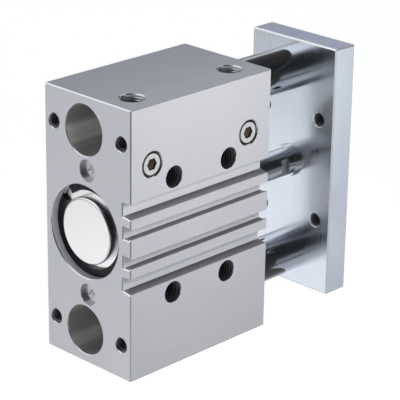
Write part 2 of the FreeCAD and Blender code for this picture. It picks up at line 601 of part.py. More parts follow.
def build_parts():
    """Every piece of the cylinder under the name it is known by."""
    grooves = piston_grooves()
    parts = {
        "housing": housing(),
        "rear_end_cap": rear_end_cap(),
        "rear_cap_seal": cap_seal(REAR_CAP_FACE, REAR_SHOULDER),
        "rear_retaining_ring": retaining_ring(REAR_RING_DEPTH, REAR_RING_TURN),
        "front_bearing_cap": front_bearing_cap(),
        "front_cap_seal": cap_seal(FRONT_SHOULDER, FRONT_CAP_FACE),
        "front_retaining_ring": retaining_ring(FRONT_CAP_FACE, FRONT_RING_TURN),
        "rod_bush": rod_bush(),
        "rod_wiper": rod_wiper(),
        "rear_port_plug": port_plug(REAR_PORT_X),
        "front_port_plug": port_plug(FRONT_PORT_X),
        "piston": piston(),
        "piston_seals": Part.makeCompound([piston_ring(grooves["rear_seal"]),
                                           piston_ring(grooves["front_seal"])]),
        "piston_magnet": magnet(),
        "piston_guide_ring": piston_ring(grooves["guide_ring"]),
        "rear_cushion_ring": cushion(PISTON_REAR - CUSHION_PROUD),
        "front_cushion_ring": cushion(PISTON_FRONT - CUSHION_SEAT_DEPTH),
        "piston_nut": piston_nut(),
        "piston_rod_seal": ring_seal(PISTON_FRONT - ROD_SEAL_SECTION / 2 - SEAL_GAP,
                                     STUD_DIAMETER + ROD_SEAL_SECTION + 2 * SEAL_GAP, ROD_SEAL_SECTION),
        "piston_rod": piston_rod(),
        "yoke_plate": yoke_plate(),
        "yoke_screws": Part.makeCompound([yoke_screw(z) for z in ROD_HEIGHTS]),
    }
    front_bush_start = HOUSING_LENGTH - GUIDE_WIPER_RECESS - GUIDE_WIPER_LENGTH - FRONT_BUSH_LENGTH
    for place, z in GUIDE_HEIGHTS.items():
        parts["inner_guide_bush_" + place] = guide_bush(GUIDE_ROD_REAR + INNER_BUSH_LEAD,
                                                        INNER_BUSH_LENGTH, z)
        parts["front_guide_bush_" + place] = guide_bush(front_bush_start, FRONT_BUSH_LENGTH, z)
        parts["guide_wiper_" + place] = guide_wiper(z)
        parts["guide_rod_" + place] = guide_rod(z)
    return parts


def main():
    """Write one STEP file per piece."""
    os.makedirs("parts", exist_ok=True)
    for name, shape in build_parts().items():
        shape.exportStep("parts/" + name + ".step")
        solids = shape.Solids
        print(name, len(solids), "solid(s)", round(shape.Volume, 1), "mm3", shape.isValid())


if __name__ == "__main__":
    main()
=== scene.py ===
"""Guided pneumatic cylinder: finishes, screw threads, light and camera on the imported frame.

The frame is in metres: +X runs along the stroke towards the yoke plate, +Z is up,
and the slotted side faces -Y. Holes are placed from the frame's own boxes.
"""
from __future__ import annotations

import json
import logging
import math
from collections.abc import Callable
from dataclasses import dataclass, field
from enum import Enum

import bpy
from mathutils import Matrix, Vector

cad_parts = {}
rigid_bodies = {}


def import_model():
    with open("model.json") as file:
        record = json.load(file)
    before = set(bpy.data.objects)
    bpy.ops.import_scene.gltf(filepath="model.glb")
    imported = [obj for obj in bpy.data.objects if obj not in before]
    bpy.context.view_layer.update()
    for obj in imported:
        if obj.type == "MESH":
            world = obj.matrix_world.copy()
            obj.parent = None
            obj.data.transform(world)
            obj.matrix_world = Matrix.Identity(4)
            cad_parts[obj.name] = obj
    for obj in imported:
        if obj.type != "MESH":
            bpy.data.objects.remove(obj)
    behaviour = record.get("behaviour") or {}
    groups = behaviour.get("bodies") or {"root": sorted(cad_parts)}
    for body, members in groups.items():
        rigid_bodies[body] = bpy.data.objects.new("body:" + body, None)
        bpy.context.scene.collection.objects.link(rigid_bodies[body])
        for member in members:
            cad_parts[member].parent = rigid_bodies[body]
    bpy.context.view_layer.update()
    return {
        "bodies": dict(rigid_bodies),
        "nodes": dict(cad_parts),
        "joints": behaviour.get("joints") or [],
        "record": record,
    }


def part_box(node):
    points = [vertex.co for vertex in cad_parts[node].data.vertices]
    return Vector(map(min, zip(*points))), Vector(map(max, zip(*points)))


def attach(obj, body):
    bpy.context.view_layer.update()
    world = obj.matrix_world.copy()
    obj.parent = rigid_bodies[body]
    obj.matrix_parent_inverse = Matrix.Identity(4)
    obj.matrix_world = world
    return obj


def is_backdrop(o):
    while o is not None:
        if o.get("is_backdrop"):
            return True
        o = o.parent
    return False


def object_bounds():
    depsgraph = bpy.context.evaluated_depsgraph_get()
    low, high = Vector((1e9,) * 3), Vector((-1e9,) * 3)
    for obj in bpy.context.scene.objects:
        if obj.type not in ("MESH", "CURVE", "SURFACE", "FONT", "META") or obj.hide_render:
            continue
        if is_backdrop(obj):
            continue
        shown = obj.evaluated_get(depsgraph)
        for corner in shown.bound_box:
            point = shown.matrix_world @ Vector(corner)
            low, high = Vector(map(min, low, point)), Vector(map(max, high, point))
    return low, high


LOG = logging.getLogger("guided_cylinder")
MM = 0.001
FULL_TURN = 360.0
DIAGONAL = math.sqrt(0.5)
NODE_STEP = 190.0
ORIGIN = (0.0, 0.0, 0.0)
EVEN = (1.0, 1.0, 1.0)
RGB = tuple[float, float, float]
Stops = list[tuple[float, float]]
Tree = bpy.types.NodeTree
Socket = bpy.types.NodeSocket


# ---------------------------------------------------------------- named choices
class Way(Enum):
    """Direction in which a hole is entered."""

    FROM_REAR = (1.0, 0.0, 0.0)
    FROM_SLOTTED_SIDE = (0.0, 1.0, 0.0)
    FROM_FAR_SIDE = (0.0, -1.0, 0.0)
    FROM_TOP = (0.0, 0.0, -1.0)

    @property
    def vector(self) -> Vector:
        """The direction as a vector."""
        return Vector(self.value)


class Texture(Enum):
    """Fine texture that machining or plating leaves: its name and how it shrinks each axis."""

    SATIN = ("satin", EVEN)
    BRUSHED = ("brushed", (1.0, 1.0, 0.02))
    TURNED = ("turned", (0.0, 1.0, 1.0))
    GROUND = ("ground", (1.0, 0.05, 0.05))


class Blend(Enum):
    """What a Mix node blends: its data type and the numbers of two inputs and the output."""

    NUMBER = ("FLOAT", 2, 3, 0)
    COLOUR = ("RGBA", 6, 7, 2)


# ---------------------------------------------------------------- node helpers
def rgba(colour: RGB) -> tuple[float, float, float, float]:
    """A colour with full opacity."""
    return (*colour, 1.0)


def add_node(tree: Tree, kind: str, inputs: dict[str | int, object] | None = None,
             **settings: object) -> bpy.types.Node:
    """Add one node to the right of those before it.

    Args:
        tree: Node tree that takes the node.
        kind: Blender's name for the node type.
        inputs: What goes into its inputs, by name or number: a socket to link or a value.
        settings: Properties to set on the node.

    Returns:
        The new node.
    """
    node = tree.nodes.new(kind)
    node.location = (NODE_STEP * len(tree.nodes), 0.0)
    for name, value in settings.items():
        setattr(node, name, value)
    for name, value in (inputs or {}).items():
        if isinstance(value, bpy.types.NodeSocket):
            tree.links.new(value, node.inputs[name])
        else:
            node.inputs[name].default_value = value
    return node


def add_sockets(tree: Tree, direction: str, kinds: dict[str, str]) -> None:
    """Give a node group named inputs or outputs.

    Args:
        tree: The group.
        direction: INPUT or OUTPUT.
        kinds: Kind of value for each socket's name.
    """
    for name, kind in kinds.items():
        tree.interface.new_socket(name, in_out=direction, socket_type="NodeSocket" + kind)


def calculate(tree: Tree, operation: str, *values: object, clamp: bool = False) -> Socket:
    """Add a Math node.

    Args:
        tree: Node tree that takes the node.
        operation: The node's operation.
        values: What goes into its inputs, in order.
        clamp: Whether the result is held between 0 and 1.

    Returns:
        The result's socket.
    """
    node = add_node(tree, "ShaderNodeMath", dict(enumerate(values)),
                    operation=operation, use_clamp=clamp)
    return node.outputs[0]


def calculate_vector(tree: Tree, operation: str, *values: object) -> Socket:
    """Add a Vector Math node.

    Args:
        tree: Node tree that takes the node.
        operation: The node's operation.
        values: What goes into its inputs, in order.

    Returns:
        The socket of the resulting vector, or of the number where the operation gives one.
    """
    node = add_node(tree, "ShaderNodeVectorMath", dict(enumerate(values)), operation=operation)
    return node.outputs["Value" if operation in ("LENGTH", "DOT_PRODUCT") else "Vector"]


def split_vector(tree: Tree, vector: Socket) -> list[Socket]:
    """Sockets of a vector's three coordinates."""
    return list(add_node(tree, "ShaderNodeSeparateXYZ", {0: vector}).outputs)


def mix(tree: Tree, kind: Blend, factor: object, first: object, second: object) -> Socket:
    """Add a Mix node.

    Args:
        tree: Node tree that takes the node.
        kind: What is blended.
        factor: Share of the second value.
        first: First value.
        second: Second value.

    Returns:
        The result's socket.
    """
    data_type, low, high, result = kind.value
    inputs = {"Factor": factor, low: first, high: second}
    return add_node(tree, "ShaderNodeMix", inputs, data_type=data_type).outputs[result]


def mix_shaders(tree: Tree, factor: Socket, first: bpy.types.Node,
                second: bpy.types.Node) -> bpy.types.Node:
    """Node that shows the second node's shader where the factor is 1."""
    inputs = {0: factor, 1: first.outputs[0], 2: second.outputs[0]}
    return add_node(tree, "ShaderNodeMixShader", inputs)


def rescale(tree: Tree, value: Socket, span: tuple[float, float], onto: tuple[float, float] = (0.0, 1.0),
            **settings: object) -> Socket:
    """Add a Map Range node.

    Args:
        tree: Node tree that takes the node.
        value: Socket to map.
        span: Range of that value.
        onto: Range of the result.
        settings: Properties to set on the node.

    Returns:
        The result's socket.
    """
    inputs = {"Value": value, "From Min": span[0], "From Max": span[1],
              "To Min": onto[0], "To Max": onto[1]}
    return add_node(tree, "ShaderNodeMapRange", inputs, **settings).outputs["Result"]


def link_object(name: str, data: bpy.types.ID) -> bpy.types.Object:
    """Make an object and put it into the scene.

    Args:
        name: Name of the object.
        data: Its mesh, light or camera.

    Returns:
        The object, at the origin.
    """
    holder = bpy.data.objects.new(name, data)
    bpy.context.collection.objects.link(holder)
    return holder


def corners_of(node: str) -> tuple[Vector, Vector]:
    """Lowest and highest corner of a CAD node's box at rest."""
    low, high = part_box(node)
    return Vector(low), Vector(high)


# ---------------------------------------------------------------- shader groups
class TextureLibrary:
    """Shader node groups that draw the fine textures, each built once.

    A group has the inputs Vector, Light Colour, Dark Colour, Roughness, Spread and Size,
    and the outputs Colour, Roughness and Height.
    """

    CLOUD_SIZE = 28.0
    CLOUD_DETAIL = 2.0
    CLOUD_SHARE = 0.3
    GRAIN_DETAIL = 3.0
    GRAIN_ROUGHNESS = 0.6
    TONE_SPAN = (0.3, 0.7)
    MIDDLE_TONE = 0.5

    _groups: dict[Texture, Tree] = {}

    @classmethod
    def get(cls, texture: Texture) -> Tree:
        """Find the group for one texture, or build it the first time.

        Args:
            texture: The texture wanted.

        Returns:
            The group.
        """
        if texture not in cls._groups:
            cls._groups[texture] = cls._build(texture)
        return cls._groups[texture]

    @classmethod
    def _build(cls, texture: Texture) -> Tree:
        """Build the group for one texture.

        Args:
            texture: The texture.

        Returns:
            The new group.
        """
        tree = bpy.data.node_groups.new(texture.value[0] + "_texture", "ShaderNodeTree")
        add_sockets(tree, "INPUT", {"Vector": "Vector", "Light Colour": "Color", "Dark Colour": "Color",
                                    "Roughness": "Float", "Spread": "Float", "Size": "Float"})
        add_sockets(tree, "OUTPUT", {"Colour": "Color", "Roughness": "Float", "Height": "Float"})
        source = add_node(tree, "NodeGroupInput").outputs
        grain = cls._grain(tree, texture, source)
        cloud = add_node(tree, "ShaderNodeTexNoise", {
            "Vector": source["Vector"], "Scale": cls.CLOUD_SIZE, "Detail": cls.CLOUD_DETAIL})
        pattern = mix(tree, Blend.NUMBER, cls.CLOUD_SHARE, grain, cloud.outputs["Fac"])
        tone = rescale(tree, pattern, cls.TONE_SPAN)
        swing = calculate(tree, "SUBTRACT", tone, cls.MIDDLE_TONE)
        add_node(tree, "NodeGroupOutput", {
            "Colour": mix(tree, Blend.COLOUR, tone, source["Dark Colour"], source["Light Colour"]),
            "Roughness": calculate(tree, "MULTIPLY_ADD", swing, source["Spread"], source["Roughness"]),
            "Height": grain})
        return tree

    @classmethod
    def _grain(cls, tree: Tree, texture: Texture, source: bpy.types.NodeOutputs) -> Socket:
        """Add the nodes that draw one texture's lines or grains.

        Args:
            tree: Group under construction.
            texture: Texture to draw.
            source: Outputs of the group's input node.

        Returns:
            The socket of the pattern, from 0 to 1.
        """
        place = calculate_vector(tree, "MULTIPLY", source["Vector"], texture.value[1])
        inputs = {"Scale": source["Size"], "Detail": cls.GRAIN_DETAIL, "Roughness": cls.GRAIN_ROUGHNESS}
        if texture is Texture.TURNED:
            inputs["W"] = calculate_vector(tree, "LENGTH", place)
            return add_node(tree, "ShaderNodeTexNoise", inputs, noise_dimensions="1D").outputs["Fac"]
        inputs["Vector"] = place
        return add_node(tree, "ShaderNodeTexNoise", inputs).outputs["Fac"]


class MaskLibrary:
    """Shader node groups that find parts of a piece, each built once."""

    _groups: dict[str, Tree] = {}

    @classmethod
    def _get(cls, name: str, inputs: dict[str, str],
             draw: Callable[[Tree, bpy.types.NodeOutputs], Socket]) -> Tree:
        """Find a group with a Mask output, or build it the first time.

        Args:
            name: Name of the group.
            inputs: Kind of value for each input's name.
            draw: Adds the nodes, given the tree and the inputs, and gives the mask's socket.

        Returns:
            The group.
        """
        if name not in cls._groups:
            tree = bpy.data.node_groups.new(name, "ShaderNodeTree")
            add_sockets(tree, "INPUT", inputs)
            add_sockets(tree, "OUTPUT", {"Mask": "Float"})
            mask = draw(tree, add_node(tree, "NodeGroupInput").outputs)
            add_node(tree, "NodeGroupOutput", {"Mask": mask})
            cls._groups[name] = tree
        return cls._groups[name]

    @classmethod
    def inside(cls) -> Tree:
        """Group that rises to 1 within Fade past Depth below the skin of the box from Low to High."""
        return cls._get("inside_mask", {
            "Vector": "Vector", "Low": "Vector", "High": "Vector", "Depth": "Float", "Fade": "Float",
            "Slot Floor": "Float", "Slot Reach": "Float"}, cls._draw_inside)

    @classmethod
    def facing(cls) -> Tree:
        """Group that is 1 where the surface faces along Axis, within Share."""
        return cls._get("facing_mask", {"Normal": "Vector", "Axis": "Vector", "Share": "Float"},
                        cls._draw_facing)

    @classmethod
    def slanted(cls) -> Tree:
        """Group that is 1 where the surface faces along none of the three axes."""
        return cls._get("slanted_mask", {"Normal": "Vector", "Share": "Float"}, cls._draw_slanted)

    @staticmethod
    def _draw_inside(tree: Tree, source: bpy.types.NodeOutputs) -> Socket:
        """Draw the inside mask, which is 0 in the slotted field before the slots' floor.

        Args:
            tree: Group under construction.
            source: Outputs of the group's input node.

        Returns:
            The mask's socket.
        """
        above = calculate_vector(tree, "SUBTRACT", source["Vector"], source["Low"])
        below = calculate_vector(tree, "SUBTRACT", source["High"], source["Vector"])
        x, y, z = split_vector(tree, calculate_vector(tree, "MINIMUM", above, below))
        least = calculate(tree, "MINIMUM", calculate(tree, "MINIMUM", x, y), z)
        past = calculate(tree, "SUBTRACT", least, source["Depth"])
        deep = calculate(tree, "DIVIDE", past, source["Fade"], clamp=True)
        _, across, height = split_vector(tree, source["Vector"])
        reach = calculate(tree, "ABSOLUTE", height)
        beyond = calculate(tree, "GREATER_THAN", reach, source["Slot Reach"])
        behind = calculate(tree, "GREATER_THAN", across, source["Slot Floor"])
        return calculate(tree, "MULTIPLY", deep, calculate(tree, "MAXIMUM", beyond, behind))

    @staticmethod
    def _draw_facing(tree: Tree, source: bpy.types.NodeOutputs) -> Socket:
        """Draw the facing mask."""
        along = calculate_vector(tree, "DOT_PRODUCT", source["Normal"], source["Axis"])
        return calculate(tree, "GREATER_THAN", along, source["Share"])

    @staticmethod
    def _draw_slanted(tree: Tree, source: bpy.types.NodeOutputs) -> Socket:
        """Draw the slanted mask.

        Args:
            tree: Group under construction.
            source: Outputs of the group's input node.

        Returns:
            The mask's socket.
        """
        x, y, z = split_vector(tree, calculate_vector(tree, "ABSOLUTE", source["Normal"]))
        most = calculate(tree, "MAXIMUM", calculate(tree, "MAXIMUM", x, y), z)
        return calculate(tree, "LESS_THAN", most, source["Share"])


# ---------------------------------------------------------------- finishes
@dataclass(frozen=True)
class Zone:
    """How a part of a piece differs from its main finish.

    Attributes:
        colour: Its colour, or None for the main finish's own.
        metallic: How far it shades as bare metal, or None for the main finish's own.
        roughness: Its roughness, or None for the main finish's own.
    """

    colour: RGB | None
    metallic: float | None
    roughness: float | None


@dataclass
class Surface:
    """A material under construction, with the masks that can be drawn on it.

    Attributes:
        tree: The material's node tree.
        place: Socket with the Object coordinates.
        normal: Socket with the faces' own normal.
    """

    tree: Tree
    place: Socket
    normal: Socket

    def mask(self, group: Tree, inputs: dict[str, object]) -> Socket:
        """Socket of a mask that one of the shared groups draws."""
        return add_node(self.tree, "ShaderNodeGroup", inputs, node_tree=group).outputs["Mask"]

    def facing(self, axis: RGB, share: float) -> Socket:
        """Mask of the faces with at least the given cosine to an axis."""
        return self.mask(MaskLibrary.facing(), {"Normal": self.normal, "Axis": axis, "Share": share})

    def slanted(self, share: float) -> Socket:
        """Mask of the faces with less than the given cosine to every axis."""
        return self.mask(MaskLibrary.slanted(), {"Normal": self.normal, "Share": share})

    def combine(self, operation: str, first: object, second: Socket) -> Socket:
        """Two masks joined by an operation of the Math node."""
        return calculate(self.tree, operation, first, second)

    def noise(self, scale: float, detail: float, span: tuple[float, float],
              squeeze: RGB = EVEN) -> Socket:
        """Mask of soft noise.

        Args:
            scale: Number of patches in a metre.
            detail: Finer layers of the noise.
            span: Range of the noise over which the mask goes from 0 to 1.
            squeeze: How far each axis is shrunk first.

        Returns:
            The mask's socket.
        """
        place = calculate_vector(self.tree, "MULTIPLY", self.place, squeeze)
        inputs = {"Vector": place, "Scale": scale, "Detail": detail}
        noise = add_node(self.tree, "ShaderNodeTexNoise", inputs)
        return rescale(self.tree, noise.outputs["Fac"], span)

    def lay_over(self, mask: Socket, zone: Zone) -> None:
        """Change colour, metallic and roughness where a mask is 1.

        Args:
            mask: Socket with the mask.
            zone: Look to lay over.
        """
        shader = self.tree.nodes["Principled BSDF"]
        colour = None if zone.colour is None else rgba(zone.colour)
        for socket, kind, value in (("Metallic", Blend.NUMBER, zone.metallic),
                                    ("Roughness", Blend.NUMBER, zone.roughness),
                                    ("Base Color", Blend.COLOUR, colour)):
            if value is None:
                continue
            target = shader.inputs[socket]
            under = target.links[0].from_socket if target.is_linked else target.default_value
            self.tree.links.new(mix(self.tree, kind, mask, under, value), target)


@dataclass(frozen=True)
class Finish:
    """One surface finish as a Principled material with a fine texture.

    Attributes:
        name: Name of the finish.
        light: Colour of the texture's light lines or grains.
        dark: Colour of its dark ones.
        metallic: How far it shades as bare metal.
        roughness: Mean roughness.
        spread: How far roughness swings across the texture.
        texture: Kind of texture.
        size: Number of texture grains per metre.
        relief: Height of the bump, in metres.
        axis_point: Point that the texture is centred on, for turned pieces.
    """

    name: str
    light: RGB
    dark: RGB
    metallic: float = 1.0
    roughness: float = 0.3
    spread: float = 0.1
    texture: Texture = Texture.SATIN
    size: float = 900.0
    relief: float = 0.00002
    axis_point: RGB = ORIGIN

    def build(self) -> bpy.types.Material:
        """Make the material.

        Returns:
            The material, with every pattern on Object coordinates.
        """
        material = bpy.data.materials.new(self.name)
        material.use_nodes = True
        tree = material.node_tree
        shader = tree.nodes["Principled BSDF"]
        place = add_node(tree, "ShaderNodeTexCoord").outputs["Object"]
        normal = add_node(tree, "ShaderNodeNewGeometry").outputs["True Normal"]
        mapping = add_node(tree, "ShaderNodeMapping", {
            "Vector": place, "Location": [-value for value in self.axis_point]})
        look = add_node(tree, "ShaderNodeGroup", {
            "Vector": mapping.outputs["Vector"], "Light Colour": rgba(self.light),
            "Dark Colour": rgba(self.dark), "Roughness": self.roughness, "Spread": self.spread,
            "Size": self.size}, node_tree=TextureLibrary.get(self.texture)).outputs
        bump = add_node(tree, "ShaderNodeBump", {
            "Strength": 1.0, "Distance": self.relief, "Height": look["Height"]})
        tree.links.new(look["Colour"], shader.inputs["Base Color"])
        tree.links.new(look["Roughness"], shader.inputs["Roughness"])
        tree.links.new(bump.outputs["Normal"], shader.inputs["Normal"])
        shader.inputs["Metallic"].default_value = self.metallic
        self.add_zones(Surface(tree, place, normal))
        return material

    def add_zones(self, surface: Surface) -> None:
        """Lay other looks over parts of the piece; a plain finish has none."""


@dataclass(frozen=True)
class BlockFinish(Finish):
    """Skin of a block, with other looks inside its holes and on its cut edges; some of these looks are
    painted shade, light and sheen.

    Attributes:
        low: Lowest corner of the block.
        high: Highest corner of the block.
        depth: Depth below its sides where the inner look starts, in metres.
        fade: Further depth over which an inner look sets in, in metres.
        ledge_fade: Further depth over which the painted shade on a slot's upward wall deepens, in
            metres.
        slot_floor: Height in Y of the slots' floor, in metres.
        slot_reach: Half the height of the slotted field, in metres.
        seat_reach: Half the height of the middle seat, in metres.
        recess_reach: Distance from the middle to the recesses' far ends, in metres.
        tap_depth: Depth of the tapped holes below the near side, in metres.
        tap_margin: Distance of those holes from the top and bottom, in metres.
        inner: Look of the middle seat.
        recess: Metallic look of the small recesses above and below it, its colour painted darker as
            shade.
        bore: Metallic look of the bores beyond them, its colour painted darker as shade, or None for the
            same.
        painted_sheen: Painted sheen in streaks along those bores.
        streak_size: Number of those streaks in a metre.
        tap: Painted shade inside the holes under the near side, or None for the same.
        ledge_shade: Painted shade on the slots' upward walls, or None for the skin's own.
        ledge_root: Deeper painted shade on those walls where they meet the slots' floors.
        slot_floor_light: Painted light on the slots' floors, lighter than the skin.
        edge: Look of the cut edges; on a round part also of its slanted faces and of the rim round its
            face.
        ridge: Look of the edge between the top and the near side, or None for the same.
        mouth: Direction that the outer face looks, for a round part, or None for a block.
        rim_shade_width: Width of the rim of painted shade round that face, in metres.
    """

    low: RGB = ORIGIN
    high: RGB = ORIGIN
    depth: float = 0.00045
    fade: float = 0.00005
    ledge_fade: float = 0.006
    slot_floor: float = -0.0258
    slot_reach: float = 0.0255
    seat_reach: float = 0.0275
    recess_reach: float = 0.0412
    tap_depth: float = 0.019
    tap_margin: float = 0.014
    inner: Zone = Zone((0.80, 0.80, 0.81), 0.3, 0.4)
    # Painted shade: the recesses are set darker than the skin.
    recess: Zone = Zone((0.56, 0.56, 0.575), 0.9, 0.24)
    # Painted shade: the guide bores' look is set darker than the skin.
    bore: Zone | None = None
    # Painted sheen: light streaks along the guide bores.
    painted_sheen: Zone = Zone((0.86, 0.86, 0.80), 0.4, 0.38)
    streak_size: float = 100.0
    # Painted shade: the tapped holes of the near side are set near black.
    tap: Zone | None = None
    # Painted shade on the slots' upward walls.
    ledge_shade: Zone | None = None
    # Deeper painted shade where those walls meet the slots' floors.
    ledge_root: Zone = Zone((0.045, 0.045, 0.048), 0.5, 0.4)
    # Painted light: the slots' floors are set lighter than the skin.
    slot_floor_light: Zone = Zone((0.80, 0.80, 0.825), 0.1, 0.45)
    edge: Zone = Zone((0.86, 0.86, 0.87), 1.0, 0.2)
    ridge: Zone | None = None
    mouth: RGB | None = None
    rim_shade_width: float = 0.0009

    UPWARD_SHARE = 0.8
    OUTWARD_SHARE = 0.98
    RIDGE_SHARE = 0.97
    FLAT_SHARE = 0.95
    NO_FLOOR = -1.0
    STREAK_DETAIL = 2.0
    STREAK_SPAN = (0.45, 0.70)
    STREAK_SQUEEZE = (0.02, 1.0, 1.0)

    def add_zones(self, surface: Surface) -> None:
        """Lay the inner look inside the holes and the edge look on the chamfers, with painted shade,
        light and sheen in the slots, recesses, bores and tapped holes.

        Args:
            surface: The material under construction.
        """
        inside = self._inside(surface)
        if self.ledge_shade is not None:
            self._add_slots(surface, inside)
        if self.mouth is None:
            surface.lay_over(surface.slanted(self.FLAT_SHARE), self.edge)
        else:
            # On the plugs the edge look laid on the slanted faces and the rim is painted shade.
            turned = surface.combine("SUBTRACT", 1.0, surface.facing(self.mouth, self.FLAT_SHARE))
            surface.lay_over(turned, self.edge)
            surface.lay_over(self._shaded_rim(surface), self.edge)
        if self.ridge is not None:
            surface.lay_over(surface.facing((0.0, -DIAGONAL, DIAGONAL), self.RIDGE_SHARE), self.ridge)
        surface.lay_over(inside, self.inner)
        if self.bore is not None:
            self._add_bores(surface, inside)
        if self.tap is not None:
            # Painted shade inside the tapped holes of the near side.
            raised, lowered = (0.0, 0.0, self.tap_margin), (0.0, 0.0, -self.tap_margin)
            band = self._inside(surface, raised, lowered)
            core = self._inside(surface, (0.0, self.tap_depth, self.tap_margin), lowered)
            surface.lay_over(surface.combine("SUBTRACT", band, core), self.tap)

    def _add_slots(self, surface: Surface, inside: Socket) -> None:
        """Paint light on the slots' floors and shade on their upward walls, deepening towards the
        floors.

        Args:
            surface: The material under construction.
            inside: Mask of what lies inside the block without the slots.
        """
        whole = self._inside(surface, slot_floor=self.NO_FLOOR)
        slots = surface.combine("SUBTRACT", whole, inside)
        ledges = surface.combine("MULTIPLY", slots, surface.facing((0.0, 0.0, 1.0), self.UPWARD_SHARE))
        floors = surface.combine("MULTIPLY", slots, surface.facing((0.0, -1.0, 0.0), self.OUTWARD_SHARE))
        depths = self._inside(surface, fade=self.ledge_fade, slot_floor=self.NO_FLOOR)
        # Painted light on the slots' floors; painted shade on their upward walls, deepening towards the
        # floors.
        surface.lay_over(floors, self.slot_floor_light)
        surface.lay_over(ledges, self.ledge_shade)
        surface.lay_over(surface.combine("MULTIPLY", ledges, depths), self.ledge_root)

    def _add_bores(self, surface: Surface, inside: Socket) -> None:
        """Paint shade into the recesses and the guide bores, with streaks of painted sheen along the
        bores.

        Args:
            surface: The material under construction.
            inside: Mask of what lies inside the block.
        """
        around, bores = (surface.combine("SUBTRACT", inside, self._band(surface, reach))
                         for reach in (self.seat_reach, self.recess_reach))
        streaks = surface.noise(self.streak_size, self.STREAK_DETAIL, self.STREAK_SPAN,
                                self.STREAK_SQUEEZE)
        # Painted shade in the recesses and guide bores, painted sheen in streaks along the bores.
        surface.lay_over(around, self.recess)
        surface.lay_over(bores, self.bore)
        surface.lay_over(surface.combine("MULTIPLY", bores, streaks), self.painted_sheen)

    def _shaded_rim(self, surface: Surface) -> Socket:
        """Draw a mask of the rim round a face that looks along Y, where painted shade goes.

        Args:
            surface: The material under construction.

        Returns:
            The mask's socket.
        """
        middle = [(a + b) / 2 for a, b in zip(self.low, self.high)]
        offset = calculate_vector(surface.tree, "SUBTRACT", surface.place, middle)
        flat = calculate_vector(surface.tree, "MULTIPLY", offset, (1.0, 0.0, 1.0))
        distance = calculate_vector(surface.tree, "LENGTH", flat)
        radius = (self.high[0] - self.low[0]) / 2
        return calculate(surface.tree, "GREATER_THAN", distance, radius - self.rim_shade_width)

    def _band(self, surface: Surface, reach: float) -> Socket:
        """Mask of what lies inside the block and at most reach above or below its middle."""
        return self._inside(surface, (0.0, 0.0, -self.low[2] - reach), (0.0, 0.0, reach - self.high[2]))

    def _inside(self, surface: Surface, raised: RGB = ORIGIN, lowered: RGB = ORIGIN,
                fade: float | None = None, slot_floor: float | None = None) -> Socket:
        """Draw a mask of what lies deeper inside the block.

        Args:
            surface: The material under construction.
            raised: What is added to the block's lowest corner.
            lowered: What is added to its highest corner.
            fade: Depth over which the mask rises to 1, or None for the finish's own.
            slot_floor: Height in Y up to which the slotted field is left out, or None for its floor.

        Returns:
            The mask's socket.
        """
        return surface.mask(MaskLibrary.inside(), {
            "Vector": surface.place, "Depth": self.depth, "Slot Reach": self.slot_reach,
            "Low": [end + step for end, step in zip(self.low, raised)],
            "High": [end + step for end, step in zip(self.high, lowered)],
            "Fade": self.fade if fade is None else fade,
            "Slot Floor": self.slot_floor if slot_floor is None else slot_floor})


@dataclass(frozen=True)
class PlateFinish(BlockFinish):
    """Ground faces, satin edges, a top edge painted darker as shade, bright chamfers and a faint
    two-colour film on a plated plate.

    Attributes:
        front: Look of the plate's front face.
        rim: Look of the plate's edges.
        crown_shade: Painted shade on its top edge, darker and bluer than the other edges.
        film: Look where the plating's film is thicker.
        film_size: Number of the film's patches in a metre.
    """

    depth: float = 0.0012
    slot_reach: float = 0.0
    front: Zone = Zone(None, 0.45, 0.36)
    rim: Zone = Zone((0.84, 0.92, 0.98), 0.2, 0.4)
    # Painted shade: the top edge is set darker and bluer than the other edges.
    crown_shade: Zone = Zone((0.74, 0.78, 0.97), 0.2, 0.4)
    edge: Zone = Zone((0.92, 0.93, 0.95), 0.6, 0.2)
    inner: Zone = Zone((0.50, 0.53, 0.58), 0.9, 0.3)
    film: Zone = Zone((0.80, 0.83, 0.93), None, None)
    film_size: float = 26.0

    FACE_SHARE = 0.9
    FILM_DETAIL = 1.0
    FILM_SPAN = (0.40, 0.70)

    def add_zones(self, surface: Surface) -> None:
        """Lay satin metal on the edges, painted shade on the top edge, polished metal on the chamfers
        and turned metal in the holes.

        Args:
            surface: The material under construction.
        """
        for axis, zone in (((1.0, 0.0, 0.0), self.front), ((0.0, 1.0, 0.0), self.rim),
                           ((0.0, -1.0, 0.0), self.rim), ((0.0, 0.0, 1.0), self.crown_shade),
                           ((0.0, 0.0, -1.0), self.rim)):
            surface.lay_over(surface.facing(axis, self.FACE_SHARE), zone)
        surface.lay_over(surface.noise(self.film_size, self.FILM_DETAIL, self.FILM_SPAN), self.film)
        surface.lay_over(surface.slanted(self.FACE_SHARE), self.edge)
        surface.lay_over(self._inside(surface), self.inner)


